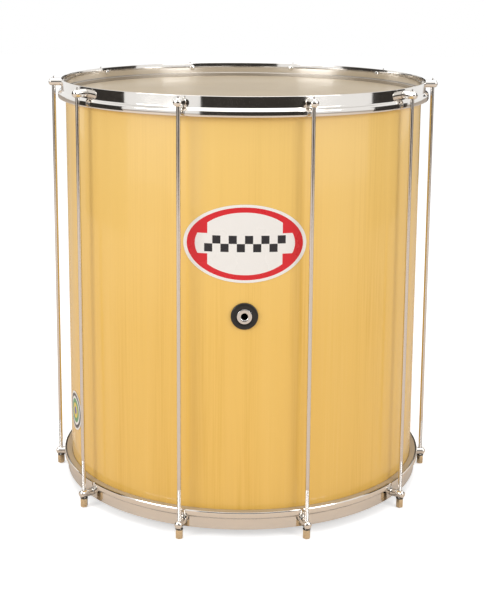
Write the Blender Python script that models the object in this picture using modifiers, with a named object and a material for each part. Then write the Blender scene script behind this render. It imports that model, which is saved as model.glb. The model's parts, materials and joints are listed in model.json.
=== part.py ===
"""Surdo: a deep bass drum with two heads, held together by ten long tension rods.

The drum stands upright on the lower ends of its rods, at Z = 0, and its axis is the Z axis.
The front, with the vent and the label, faces -Y. All sizes are in metres.
"""

import math

import bmesh
import bpy
from mathutils import Matrix

# Shell
SHELL_DIAMETER = 0.5588
SHELL_LENGTH = 0.585
SHELL_WALL = 0.006
SHELL_EDGE_CHAMFER = 0.0015

# Head skins, which fold down over the shell's edge and out under their hoops
SKIN_THICKNESS = 0.0004
SKIN_EDGE_CHAMFER = 0.0010

# Flesh hoops
HOOP_WIDTH = 0.0072
HOOP_HEIGHT = 0.0103
HOOP_CHAMFER = 0.0008

# Rims, which are rolled sheet with a wall, a shoulder and a skirt
RIM_SHEET = 0.0015
RIM_ABOVE_SKIN = 0.0228
RIM_WALL_HEIGHT = 0.0158
RIM_SHOULDER_HEIGHT = 0.0052
RIM_STEP = 0.0050
RIM_SKIRT_HEIGHT = 0.0055
RIM_CURL_HEIGHT = 0.0020
RIM_CURL_IN = 0.0008
RIM_SHOULDER_STEPS = 3

# Studs, which are riveted through the rim walls
STUD_DIAMETER = 0.012
STUD_REACH = 0.0222
STUD_DOME_LENGTH = 0.0042
STUD_BELOW_RIM_EDGE = 0.0085
STUD_TAIL_DIAMETER = 0.006
STUD_RIVET_DIAMETER = 0.009
STUD_RIVET_HEIGHT = 0.0012
STUD_DOME_STEPS = 2

# Tension rods
ROD_COUNT = 10
ROD_DIAMETER = 0.006
ROD_FROM_RIM_WALL = 0.0140
ROD_TOP_INSET = 0.0008
ROD_NIB_DIAMETER = 0.002
ROD_NIB_ABOVE_STUD = 0.0032
ROD_END_BELOW_RIM = 0.0130

# Tuning nuts and their washers
NUT_ACROSS_FLATS = 0.010
NUT_CHAMFER = 0.0009
NUT_END_ABOVE_ROD_END = 0.0005
NUT_REST_TURN = math.radians(25.0)
WASHER_DIAMETER = 0.0115
WASHER_THICKNESS = 0.0012

# Vent in the front of the shell
VENT_CENTRE_HEIGHT = 0.333
VENT_BEZEL_DIAMETER = 0.039
VENT_BEZEL_THICKNESS = 0.003
VENT_BEZEL_CHAMFER = 0.0012
VENT_FLANGE_DIAMETER = 0.0216
VENT_FLANGE_THICKNESS = 0.0012
VENT_BARREL_DIAMETER = 0.014
VENT_BORE_DIAMETER = 0.0104
VENT_ROLL_DIAMETER = 0.019

# Oval label on the front of the shell
LABEL_WIDTH = 0.176
LABEL_HEIGHT = 0.112
LABEL_ABOVE_BEZEL = 0.029
LABEL_CENTRE_HEIGHT = (
    VENT_CENTRE_HEIGHT + VENT_BEZEL_DIAMETER / 2 + LABEL_ABOVE_BEZEL + LABEL_HEIGHT / 2)
LABEL_THICKNESS = 0.0004

# Clearances
CONTACT_GAP = 0.0003
SKIN_SLIP = 0.0004
HOOP_SLIP = 0.0005
RIM_SLIP = 0.0016
ROD_CLEARANCE = 0.0003

# Fineness of the round pieces, where a flat of each large ring faces every rod
RING_STEPS = 60
SMALL_STEPS = 10
VENT_STEPS = 20
LABEL_STEPS = 36

# Screw modifiers merge only what lies on the seam and on the axis
MERGE_DISTANCE = 0.00005

# Radii that follow from the shell outwards
SHELL_RADIUS = SHELL_DIAMETER / 2
SHELL_INNER_RADIUS = SHELL_RADIUS - SHELL_WALL
COLLAR_INNER_RADIUS = SHELL_RADIUS + SKIN_SLIP
COLLAR_OUTER_RADIUS = COLLAR_INNER_RADIUS + SKIN_THICKNESS
HOOP_INNER_RADIUS = COLLAR_OUTER_RADIUS + HOOP_SLIP
HOOP_OUTER_RADIUS = HOOP_INNER_RADIUS + HOOP_WIDTH
SKIRT_RADIUS = HOOP_OUTER_RADIUS + RIM_SLIP + RIM_SHEET
WALL_RADIUS = SKIRT_RADIUS - RIM_STEP
WALL_INNER_RADIUS = WALL_RADIUS - RIM_SHEET
ROD_CIRCLE_RADIUS = WALL_RADIUS + ROD_FROM_RIM_WALL

# Heights in one rim, measured down from its free edge
SHOULDER_START = RIM_WALL_HEIGHT
SHOULDER_END = SHOULDER_START + RIM_SHOULDER_HEIGHT
SKIRT_END = SHOULDER_END + RIM_SKIRT_HEIGHT
RIM_HEIGHT = SKIRT_END + RIM_CURL_HEIGHT
HOOP_TOP = SHOULDER_START + RIM_SHEET
HOOP_BOTTOM = HOOP_TOP + HOOP_HEIGHT
SKIN_TOP = RIM_ABOVE_SKIN
SKIN_UNDERSIDE = SKIN_TOP + SKIN_THICKNESS
FLAP_TOP = HOOP_BOTTOM + CONTACT_GAP
FLAP_BOTTOM = FLAP_TOP + SKIN_THICKNESS
SHELL_END = SKIN_UNDERSIDE + CONTACT_GAP

# Heights of the whole drum above the surface that it stands on
BOTTOM_RIM_EDGE = ROD_END_BELOW_RIM
SHELL_BOTTOM = BOTTOM_RIM_EDGE + SHELL_END
SHELL_TOP = SHELL_BOTTOM + SHELL_LENGTH
TOP_RIM_EDGE = SHELL_TOP + SHELL_END
DRUM_MIDDLE = (BOTTOM_RIM_EDGE + TOP_RIM_EDGE) / 2
TOP_STUD_HEIGHT = TOP_RIM_EDGE - STUD_BELOW_RIM_EDGE
BOTTOM_STUD_HEIGHT = BOTTOM_RIM_EDGE + STUD_BELOW_RIM_EDGE

HALF_FACET = math.pi / RING_STEPS
QUARTER_TURN = math.pi / 2
HALF_TURN = math.pi
FULL_TURN = 2 * math.pi
FRONT_ANGLE = -QUARTER_TURN
ROD_PITCH_ANGLE = FULL_TURN / ROD_COUNT
FIRST_ROD_ANGLE = FRONT_ANGLE + ROD_PITCH_ANGLE / 2
SHARP_ANGLE = math.radians(35.0)
CUTTER_OVERRUN = 0.010


# Scene and materials

def clear_scene():
    """Removes every object of the start scene."""
    for thing in list(bpy.data.objects):
        bpy.data.objects.remove(thing, do_unlink=True)


def make_collection(name):
    """Adds a collection to the scene."""
    collection = bpy.data.collections.new(name)
    bpy.context.scene.collection.children.link(collection)
    return collection


def make_material(name, colour, roughness, metallic=0.0):
    """Makes a plain Principled material."""
    material = bpy.data.materials.new(name)
    material.use_nodes = True
    shader = material.node_tree.nodes["Principled BSDF"]
    shader.inputs["Base Color"].default_value = (*colour, 1.0)
    shader.inputs["Roughness"].default_value = roughness
    shader.inputs["Metallic"].default_value = metallic
    return material


def chrome(name):
    """Makes the bright plating of the rims, studs and rods."""
    return make_material(name, (0.78, 0.78, 0.77), 0.12, metallic=1.0)


def laminate(name):
    """Makes the shell's glossy pale yellow wood."""
    return make_material(name, (0.80, 0.56, 0.19), 0.25)


def milky_skin(name):
    """Makes the heads' milky film."""
    return make_material(name, (0.57, 0.46, 0.31), 0.45)


def hoop_metal(name):
    """Makes the flesh hoops' dull aluminium."""
    return make_material(name, (0.62, 0.60, 0.57), 0.35, metallic=1.0)


def nut_metal(name):
    """Makes the tuning nuts' warm nickel."""
    return make_material(name, (0.72, 0.58, 0.38), 0.30, metallic=1.0)


def washer_metal(name):
    """Makes the washers' dark steel."""
    return make_material(name, (0.22, 0.20, 0.18), 0.40, metallic=1.0)


def black_plastic(name):
    """Makes the vent bezel's plastic."""
    return make_material(name, (0.02, 0.02, 0.02), 0.35)


def label_film(name):
    """Makes the label's white film."""
    return make_material(name, (0.85, 0.84, 0.82), 0.30)


# Modelling helpers

def profile_mesh(name, points, closed):
    """Makes a mesh of edges through points of (radius, height)."""
    edges = [(index, index + 1) for index in range(len(points) - 1)]
    if closed:
        edges.append((len(points) - 1, 0))
    mesh = bpy.data.meshes.new(name)
    mesh.from_pydata([(radius, 0.0, height) for radius, height in points], edges, [])
    return mesh


def turned(name, points, steps, closed=True, angle=FULL_TURN):
    """Turns a profile about Z, where the outer side of the profile runs downwards."""
    body = bpy.data.objects.new(name, profile_mesh(name, points, closed))
    bpy.context.scene.collection.objects.link(body)
    screw = body.modifiers.new("turn", "SCREW")
    screw.axis = "Z"
    screw.angle = angle
    screw.steps = steps
    screw.render_steps = steps
    screw.use_merge_vertices = True
    screw.merge_threshold = MERGE_DISTANCE
    return body


def thickened(body, thickness, offset):
    """Gives an open surface a wall, to its inner side where offset is -1."""
    wall = body.modifiers.new("wall", "SOLIDIFY")
    wall.thickness = thickness
    wall.offset = offset
    wall.use_even_offset = True
    return body


def cut_with(body, cutter, operation):
    """Adds a Boolean that cuts body with cutter."""
    cut = body.modifiers.new("cut", "BOOLEAN")
    cut.operation = operation
    cut.solver = "EXACT"
    cut.object = cutter
    return body


def evaluated_mesh(body, name):
    """Gives the mesh that body's modifiers make, shaded smooth between its sharp edges."""
    bpy.context.view_layer.update()
    graph = bpy.context.evaluated_depsgraph_get()
    mesh = bpy.data.meshes.new_from_object(body.evaluated_get(graph))
    mesh.name = name
    mesh.shade_smooth()
    mesh.set_sharp_from_angle(angle=SHARP_ANGLE)
    return mesh


def settled(body):
    """Replaces body and its modifiers by the mesh that they make, and gives that mesh."""
    name = body.name
    mesh = evaluated_mesh(body, name)
    bpy.data.objects.remove(body, do_unlink=True)
    return mesh


def cutter_cylinders(name, collection, radius, depth, matrices, steps=SMALL_STEPS):
    """Makes one hidden cutter of equal cylinders, each along the Z axis of its matrix."""
    grid = bmesh.new()
    for matrix in matrices:
        bmesh.ops.create_cone(
            grid, cap_ends=True, segments=steps,
            radius1=radius, radius2=radius, depth=depth, matrix=matrix)
    mesh = bpy.data.meshes.new(name)
    grid.to_mesh(mesh)
    grid.free()
    cutter = bpy.data.objects.new(name, mesh)
    cutter.display_type = "WIRE"
    cutter.hide_render = True
    collection.objects.link(cutter)
    return cutter


def place(name, mesh, material, collection, matrix=None):
    """Adds one named piece of the drum to the parts."""
    piece = bpy.data.objects.new(name, mesh)
    if matrix is not None:
        piece.matrix_world = matrix
    collection.objects.link(piece)
    if not mesh.materials:
        mesh.materials.append(material)
    piece.material_slots[0].link = "OBJECT"
    piece.material_slots[0].material = material
    return piece


def flat_radius(radius):
    """Gives how far the flats of a large ring stand from its axis."""
    return radius * math.cos(HALF_FACET)


def polygon_radius(clear_radius, steps):
    """Gives the corner radius of a round hole whose flats stand at clear_radius."""
    return clear_radius / math.cos(math.pi / steps)


def rod_angle(index):
    """Gives the angle of a rod about the drum's axis, counted from the front."""
    return FIRST_ROD_ANGLE + index * ROD_PITCH_ANGLE


def about_axis(angle, height=0.0):
    """Gives the matrix of a piece that is turned about the drum's axis."""
    return Matrix.Translation((0.0, 0.0, height)) @ Matrix.Rotation(angle, 4, "Z")


def ring_matrix(upside_down):
    """Gives the place of a ring, mirrored end for end where it is the bottom one.

    A ring's profile is written with its free edge at Z = 0 and its body below it.
    """
    half_step = Matrix.Rotation(HALF_FACET, 4, "Z")
    if upside_down:
        over = Matrix.Rotation(HALF_TURN, 4, "X")
        return Matrix.Translation((0.0, 0.0, BOTTOM_RIM_EDGE)) @ over @ half_step
    return Matrix.Translation((0.0, 0.0, TOP_RIM_EDGE)) @ half_step


# Shell with its vent hole

def shell_profile():
    """Gives the shell's section, with both of its edges chamfered outside."""
    half = SHELL_LENGTH / 2
    shoulder = SHELL_RADIUS - SHELL_EDGE_CHAMFER
    return [
        (shoulder, half),
        (SHELL_RADIUS, half - SHELL_EDGE_CHAMFER),
        (SHELL_RADIUS, -half + SHELL_EDGE_CHAMFER),
        (shoulder, -half),
        (SHELL_INNER_RADIUS, -half),
        (SHELL_INNER_RADIUS, half),
    ]


def vent_hole_radius():
    """Gives the corner radius of the holes that the vent's barrel passes through."""
    return polygon_radius(VENT_BARREL_DIAMETER / 2 + CONTACT_GAP, VENT_STEPS)


def front_matrix(distance, height):
    """Gives a place on the front of the drum, with local +Z pointing outwards."""
    outwards = Matrix.Rotation(QUARTER_TURN, 4, "X")
    return Matrix.Translation((0.0, -distance, height)) @ outwards


def make_shell(parts, cutters):
    """Makes the shell and drills its vent hole."""
    turning = ring_matrix(upside_down=False).to_3x3().to_4x4()
    matrix = Matrix.Translation((0.0, 0.0, DRUM_MIDDLE)) @ turning
    body = turned("shell_turned", shell_profile(), RING_STEPS)
    body.matrix_world = matrix
    hole = cutter_cylinders(
        "vent_hole_cutter", cutters, vent_hole_radius(), 2 * SHELL_WALL + CUTTER_OVERRUN,
        [front_matrix(SHELL_RADIUS - SHELL_WALL / 2, VENT_CENTRE_HEIGHT)], VENT_STEPS)
    cut_with(body, hole, "DIFFERENCE")
    place("shell", settled(body), laminate("shell_laminate"), parts, matrix)


# Heads

def skin_profile():
    """Gives the skin's section: the playing face, the collar and the flap under the hoop."""
    face_edge = SHELL_RADIUS - SKIN_EDGE_CHAMFER
    fold = SKIN_UNDERSIDE + SKIN_EDGE_CHAMFER
    return [
        (0.0, -SKIN_TOP),
        (face_edge, -SKIN_TOP),
        (COLLAR_OUTER_RADIUS, -fold),
        (COLLAR_OUTER_RADIUS, -FLAP_TOP),
        (HOOP_OUTER_RADIUS, -FLAP_TOP),
        (HOOP_OUTER_RADIUS, -FLAP_BOTTOM),
        (COLLAR_INNER_RADIUS, -FLAP_BOTTOM),
        (COLLAR_INNER_RADIUS, -fold),
        (face_edge, -SKIN_UNDERSIDE),
        (0.0, -SKIN_UNDERSIDE),
    ]


def make_heads(parts):
    """Makes the two head skins."""
    mesh = settled(turned("head_skin", skin_profile(), RING_STEPS, closed=False))
    place("top_head", mesh, milky_skin("top_head_skin"), parts, ring_matrix(False))
    place("bottom_head", mesh, milky_skin("bottom_head_skin"), parts, ring_matrix(True))


# Flesh hoops

def hoop_seat():
    """Gives the line that the hoop's sloping top follows under the middle of the rim's shoulder.

    It is returned as a radius, a height and a slope, which is height over radius.
    """
    share = (RIM_SHOULDER_STEPS - 1) / 2 / RIM_SHOULDER_STEPS
    upper_radius, upper_height = shoulder_point(share)
    lower_radius, lower_height = shoulder_point(1 - share)
    run = lower_radius - upper_radius
    drop = upper_height - lower_height
    length = math.hypot(run, drop)
    away = RIM_SHEET + CONTACT_GAP
    radius = (upper_radius + lower_radius) / 2 - away * drop / length
    height = (upper_height + lower_height) / 2 - away * run / length
    return radius, height, -drop / run


def hoop_profile():
    """Gives the hoop's section, whose outer top slopes away under the rim's shoulder."""
    seat_radius, seat_height, slope = hoop_seat()
    top_corner = seat_radius + (-HOOP_TOP - seat_height) / slope
    outer_height = seat_height + (HOOP_OUTER_RADIUS - seat_radius) * slope
    return [
        (top_corner, -HOOP_TOP),
        (HOOP_OUTER_RADIUS, outer_height),
        (HOOP_OUTER_RADIUS, -HOOP_BOTTOM),
        (HOOP_INNER_RADIUS, -HOOP_BOTTOM),
        (HOOP_INNER_RADIUS, -HOOP_TOP - HOOP_CHAMFER),
        (HOOP_INNER_RADIUS + HOOP_CHAMFER, -HOOP_TOP),
    ]


def make_flesh_hoops(parts):
    """Makes the two hoops that hold the skins."""
    mesh = settled(turned("flesh_hoop", hoop_profile(), RING_STEPS))
    place("top_flesh_hoop", mesh, hoop_metal("top_hoop_metal"), parts, ring_matrix(False))
    place("bottom_flesh_hoop", mesh, hoop_metal("bottom_hoop_metal"), parts, ring_matrix(True))


# Rims

def shoulder_point(share):
    """Gives a point of the rim's shoulder, an S curve that runs out and down from its wall."""
    out = RIM_STEP * (1 - math.cos(math.pi * share)) / 2
    return (WALL_RADIUS + out, -SHOULDER_START - RIM_SHOULDER_HEIGHT * share)


def rim_profile():
    """Gives the outer side of the rim's sheet: wall, shoulder, skirt and curl."""
    points = [(WALL_RADIUS, 0.0)]
    for step in range(RIM_SHOULDER_STEPS + 1):
        points.append(shoulder_point(step / RIM_SHOULDER_STEPS))
    points.append((SKIRT_RADIUS, -SKIRT_END))
    points.append((SKIRT_RADIUS - RIM_CURL_IN, -RIM_HEIGHT))
    return points


def stud_hole_matrices():
    """Gives the places of the stud holes in a rim that stands as it was turned."""
    across = Matrix.Translation((WALL_RADIUS, 0.0, -STUD_BELOW_RIM_EDGE))
    along_x = Matrix.Rotation(QUARTER_TURN, 4, "Y")
    return [
        Matrix.Rotation(rod_angle(index) - HALF_FACET, 4, "Z") @ across @ along_x
        for index in range(ROD_COUNT)
    ]


def make_rims(parts, cutters):
    """Makes the two rims, with a hole for each stud's tail."""
    body = turned("rim", rim_profile(), RING_STEPS, closed=False)
    thickened(body, RIM_SHEET, -1.0)
    tail_hole = polygon_radius(STUD_TAIL_DIAMETER / 2 + CONTACT_GAP, SMALL_STEPS)
    holes = cutter_cylinders(
        "stud_hole_cutter", cutters, tail_hole, RIM_SHEET + CUTTER_OVERRUN,
        stud_hole_matrices())
    cut_with(body, holes, "DIFFERENCE")
    mesh = settled(body)
    place("top_rim", mesh, chrome("top_rim_chrome"), parts, ring_matrix(False))
    place("bottom_rim", mesh, chrome("bottom_rim_chrome"), parts, ring_matrix(True))


# Studs

def stud_profile():
    """Gives the stud's section, where height 0 is on the rod's axis and +Z is outwards."""
    radius = STUD_DIAMETER / 2
    shoulder = flat_radius(WALL_RADIUS) + CONTACT_GAP - ROD_CIRCLE_RADIUS
    end = shoulder + STUD_REACH
    rivet = flat_radius(WALL_INNER_RADIUS) - CONTACT_GAP - ROD_CIRCLE_RADIUS
    points = []
    for step in range(STUD_DOME_STEPS + 1):
        angle = QUARTER_TURN * (1 - step / STUD_DOME_STEPS)
        depth = STUD_DOME_LENGTH * (1 - math.sin(angle))
        points.append((radius * math.cos(angle) if step else 0.0, end - depth))
    points.append((radius, shoulder))
    points.append((STUD_TAIL_DIAMETER / 2, shoulder))
    points.append((STUD_TAIL_DIAMETER / 2, rivet))
    points.append((STUD_RIVET_DIAMETER / 2, rivet))
    points.append((STUD_TAIL_DIAMETER / 2, rivet - STUD_RIVET_HEIGHT))
    points.append((0.0, rivet - STUD_RIVET_HEIGHT))
    return points


def rod_hole_radius():
    """Gives the corner radius of the holes that a rod passes through."""
    return polygon_radius(ROD_DIAMETER / 2 + ROD_CLEARANCE, SMALL_STEPS)


def make_studs(parts, cutters):
    """Makes the studs of both rims, each drilled across for its rod."""
    body = turned("rod_stud", stud_profile(), SMALL_STEPS, closed=False)
    across = Matrix.Rotation(QUARTER_TURN, 4, "Y")
    hole = cutter_cylinders(
        "rod_hole_cutter", cutters, rod_hole_radius(), STUD_DIAMETER + CUTTER_OVERRUN, [across])
    cut_with(body, hole, "DIFFERENCE")
    mesh = settled(body)
    mesh.transform(across)
    for end, height in (("top", TOP_STUD_HEIGHT), ("bottom", BOTTOM_STUD_HEIGHT)):
        for index in range(ROD_COUNT):
            name = f"{end}_rod_stud_{index + 1:02d}"
            at_rod = about_axis(rod_angle(index), height)
            matrix = at_rod @ Matrix.Translation((ROD_CIRCLE_RADIUS, 0.0, 0.0))
            place(name, mesh, chrome(f"{name}_chrome"), parts, matrix)


# Tension rods, washers and nuts

def rod_matrix(index):
    """Gives the place of a rod's lower end, with local Z along the rod."""
    return about_axis(rod_angle(index)) @ Matrix.Translation((ROD_CIRCLE_RADIUS, 0.0, 0.0))


def rod_profile():
    """Gives the rod's section: the nib, the shank in the top stud and the free end."""
    stud_top = TOP_STUD_HEIGHT + STUD_DIAMETER / 2
    shank_top = stud_top - ROD_TOP_INSET
    return [
        (0.0, stud_top + ROD_NIB_ABOVE_STUD),
        (ROD_NIB_DIAMETER / 2, stud_top + ROD_NIB_ABOVE_STUD),
        (ROD_NIB_DIAMETER / 2, shank_top),
        (ROD_DIAMETER / 2, shank_top),
        (ROD_DIAMETER / 2, 0.0),
        (0.0, 0.0),
    ]


def make_rods(parts):
    """Makes the tension rods."""
    mesh = settled(turned("tension_rod", rod_profile(), SMALL_STEPS, closed=False))
    for index in range(ROD_COUNT):
        name = f"tension_rod_{index + 1:02d}"
        place(name, mesh, chrome(f"{name}_chrome"), parts, rod_matrix(index))


def washer_top():
    """Gives the height of the washers' upper face, just under the bottom studs."""
    return BOTTOM_STUD_HEIGHT - STUD_DIAMETER / 2 - CONTACT_GAP


def make_washers(parts):
    """Makes the washer between each bottom stud and its nut."""
    outer = WASHER_DIAMETER / 2
    bore = rod_hole_radius()
    points = [
        (outer, WASHER_THICKNESS / 2),
        (outer, -WASHER_THICKNESS / 2),
        (bore, -WASHER_THICKNESS / 2),
        (bore, WASHER_THICKNESS / 2),
    ]
    mesh = settled(turned("nut_washer", points, SMALL_STEPS))
    middle = Matrix.Translation((0.0, 0.0, washer_top() - WASHER_THICKNESS / 2))
    for index in range(ROD_COUNT):
        name = f"nut_washer_{index + 1:02d}"
        matrix = rod_matrix(index) @ middle
        place(name, mesh, washer_metal(f"{name}_steel"), parts, matrix)


def hexagon_bar(name, across_flats, length, chamfer):
    """Makes a hexagonal bar along Z, with the edges of both of its ends chamfered."""
    corner = polygon_radius(across_flats / 2, 6)
    grid = bmesh.new()
    bmesh.ops.create_cone(
        grid, cap_ends=True, segments=6, radius1=corner, radius2=corner, depth=length)
    ends = [face for face in grid.faces if abs(face.normal.z) > 0.9]
    rings = {edge for face in ends for edge in face.edges}
    bmesh.ops.bevel(
        grid, geom=list(rings), offset=chamfer, offset_type="OFFSET", segments=1,
        affect="EDGES")
    mesh = bpy.data.meshes.new(name)
    grid.to_mesh(mesh)
    grid.free()
    bar = bpy.data.objects.new(name, mesh)
    bpy.context.scene.collection.objects.link(bar)
    return bar


def make_nuts(parts, cutters):
    """Makes the long hexagonal tuning nuts, each left at its own angle."""
    bottom = NUT_END_ABOVE_ROD_END
    top = washer_top() - WASHER_THICKNESS - CONTACT_GAP
    length = top - bottom
    bar = hexagon_bar("tuning_nut", NUT_ACROSS_FLATS, length, NUT_CHAMFER)
    bore = cutter_cylinders(
        "nut_bore_cutter", cutters, rod_hole_radius(), length + CUTTER_OVERRUN,
        [Matrix.Identity(4)])
    cut_with(bar, bore, "DIFFERENCE")
    mesh = settled(bar)
    middle = Matrix.Translation((0.0, 0.0, (top + bottom) / 2))
    for index in range(ROD_COUNT):
        name = f"tuning_nut_{index + 1:02d}"
        turn = Matrix.Rotation(index * NUT_REST_TURN, 4, "Z")
        matrix = rod_matrix(index) @ middle @ turn
        place(name, mesh, nut_metal(f"{name}_nickel"), parts, matrix)


# Vent

def make_vent_bezel(parts):
    """Makes the plastic ring round the vent, flat against the shell."""
    outer = VENT_BEZEL_DIAMETER / 2
    bore = vent_hole_radius()
    points = [
        (outer - VENT_BEZEL_CHAMFER, VENT_BEZEL_THICKNESS),
        (outer, VENT_BEZEL_THICKNESS - VENT_BEZEL_CHAMFER),
        (outer, 0.0),
        (bore, 0.0),
        (bore, VENT_BEZEL_THICKNESS),
    ]
    mesh = settled(turned("vent_bezel_ring", points, VENT_STEPS))
    matrix = front_matrix(bezel_back(), VENT_CENTRE_HEIGHT)
    place("vent_bezel", mesh, black_plastic("vent_bezel_plastic"), parts, matrix)


def bezel_back():
    """Gives how far the back of the vent's bezel stands from the drum's axis."""
    return flat_radius(SHELL_RADIUS) + CONTACT_GAP


def make_vent_eyelet(parts):
    """Makes the metal eyelet through the bezel and the shell, rolled over inside."""
    barrel = VENT_BARREL_DIAMETER / 2
    bore = VENT_BORE_DIAMETER / 2
    flange = VENT_FLANGE_DIAMETER / 2
    roll = VENT_ROLL_DIAMETER / 2
    under_flange = VENT_BEZEL_THICKNESS + CONTACT_GAP
    front = under_flange + VENT_FLANGE_THICKNESS
    over_roll = flat_radius(SHELL_INNER_RADIUS) - CONTACT_GAP - bezel_back()
    back = over_roll - VENT_FLANGE_THICKNESS
    points = [
        (flange - VENT_FLANGE_THICKNESS / 2, front),
        (flange, under_flange),
        (barrel, under_flange),
        (barrel, over_roll),
        (roll, over_roll),
        (roll - VENT_FLANGE_THICKNESS / 2, back),
        (bore, back),
        (bore, front),
    ]
    mesh = settled(turned("vent_eyelet_ring", points, VENT_STEPS))
    matrix = front_matrix(bezel_back(), VENT_CENTRE_HEIGHT)
    place("vent_eyelet", mesh, chrome("vent_eyelet_chrome"), parts, matrix)


# Label

def make_label(parts, cutters):
    """Makes the thin oval label, bent round the front of the shell."""
    inner = SHELL_RADIUS + CONTACT_GAP
    reach = math.asin(LABEL_WIDTH / 2 / inner)
    facets = 2 * math.ceil((reach + HALF_FACET) / (2 * HALF_FACET)) + 1
    angle = facets * 2 * HALF_FACET
    points = [(inner, LABEL_HEIGHT), (inner, -LABEL_HEIGHT)]
    body = turned("label_band", points, facets, closed=False, angle=angle)
    thickened(body, LABEL_THICKNESS, 1.0)
    matrix = about_axis(FRONT_ANGLE - angle / 2, LABEL_CENTRE_HEIGHT)
    body.matrix_world = matrix
    size = Matrix.Diagonal((LABEL_WIDTH / 2, LABEL_HEIGHT / 2, 1.0, 1.0))
    oval = cutter_cylinders(
        "label_outline_cutter", cutters, 1.0, SHELL_RADIUS,
        [front_matrix(SHELL_RADIUS, LABEL_CENTRE_HEIGHT) @ size], LABEL_STEPS)
    cut_with(body, oval, "INTERSECT")
    place("front_label", settled(body), label_film("front_label_film"), parts, matrix)


def main():
    """Builds the drum."""
    clear_scene()
    parts = make_collection("surdo")
    cutters = make_collection("cutters")
    make_shell(parts, cutters)
    make_heads(parts)
    make_flesh_hoops(parts)
    make_rims(parts, cutters)
    make_studs(parts, cutters)
    make_rods(parts)
    make_washers(parts)
    make_nuts(parts, cutters)
    make_vent_bezel(parts)
    make_vent_eyelet(parts)
    make_label(parts, cutters)


main()
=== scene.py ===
"""Looks of the surdo: finishes, finely rounded pieces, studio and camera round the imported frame.

All sizes are in metres. The drum's axis is Z, its front faces -Y, and it stands at Z = 0.
"""

import json
import logging
import math
from dataclasses import dataclass, field
from enum import Enum

import bpy
from mathutils import Matrix, Vector

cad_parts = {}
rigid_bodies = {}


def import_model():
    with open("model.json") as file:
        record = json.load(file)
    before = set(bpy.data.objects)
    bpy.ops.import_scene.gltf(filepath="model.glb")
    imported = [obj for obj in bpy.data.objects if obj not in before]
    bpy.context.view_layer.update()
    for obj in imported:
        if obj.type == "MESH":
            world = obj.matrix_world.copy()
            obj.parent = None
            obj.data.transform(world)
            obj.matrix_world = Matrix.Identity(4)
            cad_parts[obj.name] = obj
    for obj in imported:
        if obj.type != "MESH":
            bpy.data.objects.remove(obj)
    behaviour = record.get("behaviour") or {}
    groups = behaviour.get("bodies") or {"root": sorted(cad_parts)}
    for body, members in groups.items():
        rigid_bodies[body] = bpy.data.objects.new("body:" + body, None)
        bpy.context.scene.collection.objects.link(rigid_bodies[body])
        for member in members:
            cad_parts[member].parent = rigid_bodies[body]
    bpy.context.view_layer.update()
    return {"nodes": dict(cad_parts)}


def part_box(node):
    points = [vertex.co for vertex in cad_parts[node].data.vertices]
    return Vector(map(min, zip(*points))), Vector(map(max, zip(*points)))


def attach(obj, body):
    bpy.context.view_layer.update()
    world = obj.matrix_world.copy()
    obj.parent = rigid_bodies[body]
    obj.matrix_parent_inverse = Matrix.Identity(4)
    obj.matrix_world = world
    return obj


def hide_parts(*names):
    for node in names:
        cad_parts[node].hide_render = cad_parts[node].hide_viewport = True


LOG = logging.getLogger("surdo")

Triple = tuple[float, float, float]
Colour = Triple
Profile = list[tuple[float, float]]
Socket = bpy.types.NodeSocket

MAIN_BODY = "drum"
WHITE: Colour = (1.0, 1.0, 1.0)
EVEN: Triple = (1.0, 1.0, 1.0)

# Sizes that several sub-assemblies share
ROD_COUNT = 10
FIRST_ROD_ANGLE = math.radians(-72.0)
FRONT_ANGLE = math.radians(-90.0)
CONTACT_GAP = 0.0003
SHELL_RADIUS = 0.2794
FILM_RADIUS = SHELL_RADIUS + CONTACT_GAP
HOOP_OUTER_RADIUS = 0.2879
RIM_WALL_RADIUS = 0.2860
RIM_SHEET = 0.0015
ROD_CIRCLE_RADIUS = 0.300
ROD_RADIUS = 0.0030
ROD_BORE_RADIUS = ROD_RADIUS + CONTACT_GAP
VENT_HEIGHT = 0.333
VENT_BARREL_RADIUS = 0.0070
LABEL_HEIGHT = 0.4375
LABEL_HALF_WIDTH = 0.088
LABEL_HALF_HEIGHT = 0.056

# Settings of the modelling operators
SHARP_ANGLE = math.radians(32.0)
MERGE_DISTANCE = 0.00002
START_SIZE = 0.01

# Places of the colour sockets on a Mix node
MIX_FIRST = 6
MIX_SECOND = 7
MIX_RESULT = 2


def clear_selection() -> None:
    """Deselects everything, so that an operator acts only on what is new."""
    for thing in bpy.context.view_layer.objects:
        thing.select_set(False)


def activate(piece: bpy.types.Object) -> None:
    """Makes a piece the only selected object, and the active one.

    Args:
        piece: the object to work on.
    """
    clear_selection()
    piece.select_set(True)
    bpy.context.view_layer.objects.active = piece


def apply_modifiers(piece: bpy.types.Object) -> None:
    """Applies every modifier of a piece.

    Args:
        piece: the object whose modifiers become part of its mesh.
    """
    activate(piece)
    for modifier in list(piece.modifiers):
        bpy.ops.object.modifier_apply(modifier=modifier.name)


def smooth(piece: bpy.types.Object, angle: float = SHARP_ANGLE) -> None:
    """Shades a piece smooth, apart from its sharp edges.

    Args:
        piece: the object to shade.
        angle: the angle past which an edge stays sharp, in radians.
    """
    activate(piece)
    bpy.ops.object.shade_smooth_by_angle(angle=angle)


def name_piece(piece: bpy.types.Object, name: str) -> None:
    """Gives a piece and its mesh one name.

    Args:
        piece: the object to name.
        name: the name.
    """
    piece.name = name
    piece.data.name = name


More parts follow.
